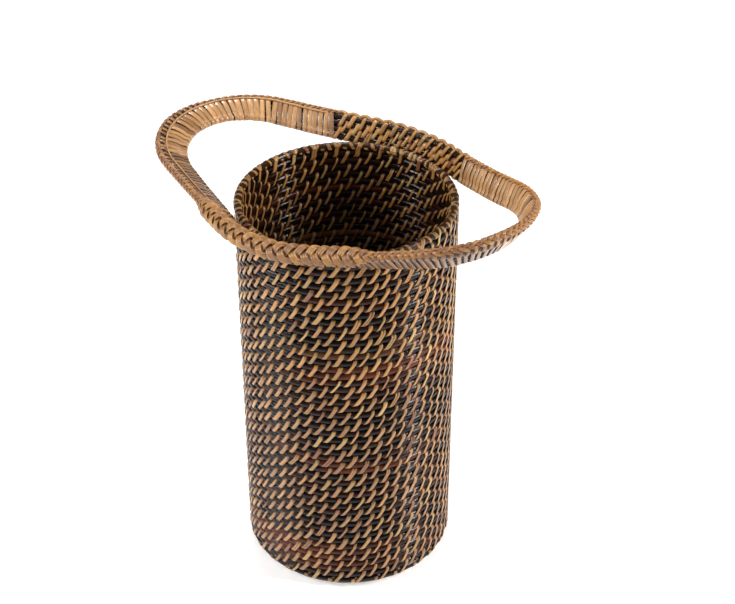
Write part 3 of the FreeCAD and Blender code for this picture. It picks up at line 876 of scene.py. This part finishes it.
class RATTAN_OT_braid(bpy.types.Operator):
    """Plait the braid along the band's outer edge, and loop the edge cord at the back"""
    bl_idname = "rattan.braid"
    bl_label = "Braid"

    # stretches of the band, as shares of its length from the left end, and how soft their ends are
    BROAD = (0.17, 0.355, 0.02)
    FRONT = (0.0, 0.5, 0.05)
    LEFT = (-0.30, 0.16, 0.03)
    RIGHT = (0.41, 0.54, 0.04)
    STEP = 0.0011

    def execute(self, context):
        tools = Tools(context, 70)
        band = Band(tools.handle)
        edge = (HANDLE_RODS - 1) * tools.handle.pitch + HANDLE_ROD
        first, last = band.back_ends()
        start = last - band.length
        distance = np.linspace(start, first, int((first - start) / self.STEP))
        broad = self.zone(band, distance, self.BROAD)
        behind = 1 - self.zone(band, distance, self.FRONT)
        left = self.zone(band, distance, self.LEFT)
        right = self.zone(band, distance, self.RIGHT)
        # how far the plait lies from the cord's middle, and the middle from the inner rod
        cap = tools.braid.cord + 0.0052 * broad - 0.0020 * behind + 0.0016 * right
        hub = edge + 0.0026 - 0.0030 * broad - 0.0030 * behind + 0.0006 * right
        along, across, upward = band.axes(distance, hub)
        cord = (round_section(12) * 0.98)[None] * (cap - 0.0007)[:, None, None]
        shadow = np.asarray(tools.colours.umber) * 0.16
        tools.weave.sweep(band.point(distance, hub), across, upward, cord, shadow)
        self.ribs(tools, band, distance, hub, cap)
        bleach = 1.05 + 0.1 * left - 0.25 * broad
        self.plait(tools, band, distance, hub, cap, broad, bleach, 0.3 * right)
        self.seam_cord(tools, band, edge)
        self.edge_cord(tools, band, edge)
        tools.weave.finish("edge_plait", "braid", "handle_braid")
        return {"FINISHED"}

    def plait(self, tools, band, distance, hub, cap, broad, bleach, darken):
        """Three strands of three peels each, crossing from side to side over the cord."""
        rng, braid, colours = tools.rng, tools.braid, tools.colours
        count = len(distance)
        turns = np.cumsum(1 / (braid.lap + braid.lap_broad * broad)) * (distance[1] - distance[0])
        swing = braid.swing + braid.swing_broad * broad
        half = braid.strand + braid.strand_broad * broad
        for strand in range(3):
            phase = 2 * math.pi * (turns + strand / 3 + wander(rng, count, 0.02, 20))
            radius = cap + (0.0008 + 0.0016 * broad) * np.sin(2 * phase)
            shade = np.clip(0.45 + wander(rng, count, 0.8, 30), 0, 1)
            for peel in (-0.62, 0.0, 0.62):
                turned = (swing * (1 + wander(rng, count, 0.05, 25)) * np.sin(phase)) / cap
                offset = hub + radius * np.cos(turned)
                along, across, upward = band.axes(distance, offset)
                path = band.point(distance, offset) + upward * (radius * np.sin(turned))[:, None]
                over = across * np.cos(turned)[:, None] + upward * np.sin(turned)[:, None]
                side, over = self.square_up(path, over)
                path = path + side * (half * peel)[:, None]
                section = (PEEL * (0.40, 1))[None] * np.stack([half, half * 0 + 0.0012], -1)[:, None]
                fade = np.clip(shade + wander(rng, count, 0.3, 40), 0, 1) * bleach + darken
                dye = blend(colours.gold, colours.umber, np.clip(fade, 0, 1)) * rng.uniform(0.85, 1.15)
                tools.weave.sweep(path, side, over, section, dye)

    def square_up(self, path, over):
        """Sideways and outward directions of a path, square to it."""
        way = unit(np.gradient(path, axis=0))
        over = unit(over - way * np.einsum("ij,ij->i", over, way)[:, None])
        return np.cross(over, way), over

    def ribs(self, tools, band, distance, hub, cap):
        """Wraps round the cord that the plait lies on."""
        rng, colours = tools.rng, tools.colours
        turn = np.linspace(0, 2 * math.pi, 17)[:-1]
        steps = int((distance[-1] - distance[0]) / tools.handle.wrap_pitch)
        for step in range(1, steps):
            middle = distance[0] + (step + rng.gauss(0, 0.08)) * tools.handle.wrap_pitch
            centre = np.interp(middle, distance, hub)
            radius = np.interp(middle, distance, cap) - 0.0008
            section = PEEL * (0.0023 * rng.uniform(0.8, 1.15), 0.0011)
            slant = 0.0016 * np.sin(turn)
            dye = blend(colours.honey, colours.umber, rng.uniform(0.25, 1)) * rng.uniform(0.7, 1.0)
            band.lay(tools.weave, middle + slant, centre + radius * np.cos(turn), radius * np.sin(turn),
                     np.cos(turn), np.sin(turn), [section], dye, closed=True)

    def seam_cord(self, tools, band, edge):
        """A thin pale cord on top of the left handle, beside the braid."""
        count = 420
        distance = np.linspace(-0.14, 0.17, count) * band.length
        offset = np.full(count, edge - 0.0022)
        along, across, upward = band.axes(distance, offset)
        path = band.point(distance, offset) + upward * (HANDLE_ROD + 0.0016)
        section = round_section(8) * (0.0013, 0.0011)
        tools.weave.sweep(path, across, upward, section, np.asarray(tools.colours.honey) * 0.9)

    def zone(self, band, distance, stretch):
        """1 along a stretch of the band and 0 elsewhere, with soft ends."""
        first, last, ease = stretch
        share = distance / band.length
        rise = np.clip((share - first) / ease + 0.5, 0, 1)
        fall = np.clip((last - share) / ease + 0.5, 0, 1)
        return np.minimum(rise, fall)

    def edge_cord(self, tools, band, edge):
        """A pale cord that loops from stitch to stitch along the stitched middle of the back."""
        first, last = band.back_ends()
        braid = tools.braid
        distance = np.linspace(first - 0.004, last + 0.004, 320)
        turn = math.pi * distance / braid.loop_length
        offset = edge + 0.0006 + braid.loop_height * np.abs(np.sin(turn))
        along, across, upward = band.axes(distance, offset)
        path = band.point(distance, offset) + upward * (0.0004 * np.cos(2 * turn))[:, None]
        side, over = self.square_up(path, upward)
        section = round_section(8) * (0.0019, 0.0016)
        tools.weave.sweep(path, side, over, section, np.asarray(tools.colours.gold))


class RATTAN_OT_stage(bpy.types.Operator):
    """Set the floor, the soft light and the camera"""
    bl_idname = "rattan.stage"
    bl_label = "Stage"

    FLOOR_HALF = 12.0
    # name, place, width and height of the panel, and watts
    LIGHTS = (("left_light", (-1.35, -1.6, 1.35), (0.12, 1.2), 34),
              ("right_light", (1.85, 0.75, 1.35), (0.12, 1.2), 42),
              ("upper_light", (-0.7, 0.55, 2.1), (0.45, 0.45), 15))

    def area_light(self, name, place, size, power):
        """A panel of light that faces the middle of the stand."""
        light = bpy.data.lights.new(name, "AREA")
        light.shape = "RECTANGLE"
        light.size, light.size_y = size
        light.energy = power
        lamp = bpy.data.objects.new(name, light)
        lamp.location = place
        target = np.array([0, 0, 0.25]) - np.array(place)
        lamp.rotation_euler = (math.atan2(math.hypot(target[0], target[1]), -target[2]), 0,
                               math.atan2(target[1], target[0]) - math.pi / 2)
        bpy.context.scene.collection.objects.link(lamp)

    def execute(self, context):
        stage = context.scene.rattan_stage
        mesh = bpy.data.meshes.new("floor")
        half = self.FLOOR_HALF
        corners = [(-half, -half, 0), (half, -half, 0), (half, half, 0), (-half, half, 0)]
        mesh.from_pydata(corners, [], [(0, 1, 2, 3)])
        mesh.materials.append(floor_finish(stage.floor))
        floor = bpy.data.objects.new("floor", mesh)
        context.scene.collection.objects.link(floor)

        camera = bpy.data.objects.new("camera", bpy.data.cameras.new("camera"))
        camera.data.lens = stage.lens
        camera.data.sensor_width = 36.0
        camera.location = (stage.side, -stage.back, stage.height)
        camera.rotation_euler = (math.pi / 2 - stage.tilt, 0, stage.heading)
        context.scene.collection.objects.link(camera)
        context.scene.camera = camera

        world = bpy.data.worlds.new("studio")
        world.use_nodes = True
        background = world.node_tree.nodes["Background"]
        background.inputs["Color"].default_value = (1, 1, 1, 1)
        background.inputs["Strength"].default_value = 0.12
        context.scene.world = world
        for light in self.LIGHTS:
            self.area_light(*light)
        sky = bpy.data.lights.new("sky_light", "SUN")
        sky.energy = 0.35
        sky.angle = math.radians(70)
        lamp = bpy.data.objects.new("sky_light", sky)
        lamp.rotation_euler = (math.radians(20), math.radians(-12), 0)
        context.scene.collection.objects.link(lamp)
        context.scene.view_settings.view_transform = "Standard"
        return {"FINISHED"}


OPERATORS = (RATTAN_OT_stage, RATTAN_OT_wall_rods, RATTAN_OT_wall_stitches, RATTAN_OT_base,
             RATTAN_OT_rim, RATTAN_OT_handle_rods, RATTAN_OT_handle_wraps, RATTAN_OT_handle_stitches,
             RATTAN_OT_braid)


class RATTAN_PT_stand(bpy.types.Panel):
    """The stand's pieces and their settings"""
    bl_idname = "RATTAN_PT_stand"
    bl_label = "Rattan stand"
    bl_space_type = "VIEW_3D"
    bl_region_type = "UI"
    bl_category = "Rattan"

    def draw(self, context):
        layout = self.layout
        for name in SETTINGS:
            group = getattr(context.scene, name)
            box = layout.box()
            for prop in group.bl_rna.properties:
                if prop.identifier not in ("rna_type", "name"):
                    box.prop(group, prop.identifier)
        for operator in OPERATORS:
            layout.operator(operator.bl_idname)


SETTINGS = {"rattan_wall": WallSettings, "rattan_handle": HandleSettings,
            "rattan_braid": BraidSettings, "rattan_colours": ColourSettings,
            "rattan_stage": StageSettings}


def register():
    for group in SETTINGS.values():
        bpy.utils.register_class(group)
    for name, group in SETTINGS.items():
        setattr(bpy.types.Scene, name, PointerProperty(type=group))
    for operator in OPERATORS:
        bpy.utils.register_class(operator)
    bpy.utils.register_class(RATTAN_PT_stand)


def unregister():
    bpy.utils.unregister_class(RATTAN_PT_stand)
    for operator in reversed(OPERATORS):
        bpy.utils.unregister_class(operator)
    for name, group in SETTINGS.items():
        delattr(bpy.types.Scene, name)
        bpy.utils.unregister_class(group)


def main():
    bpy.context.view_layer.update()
    register()
    for operator in OPERATORS:
        group, name = operator.bl_idname.split(".")
        getattr(getattr(bpy.ops, group), name)()


if __name__ == "__main__":
    main()
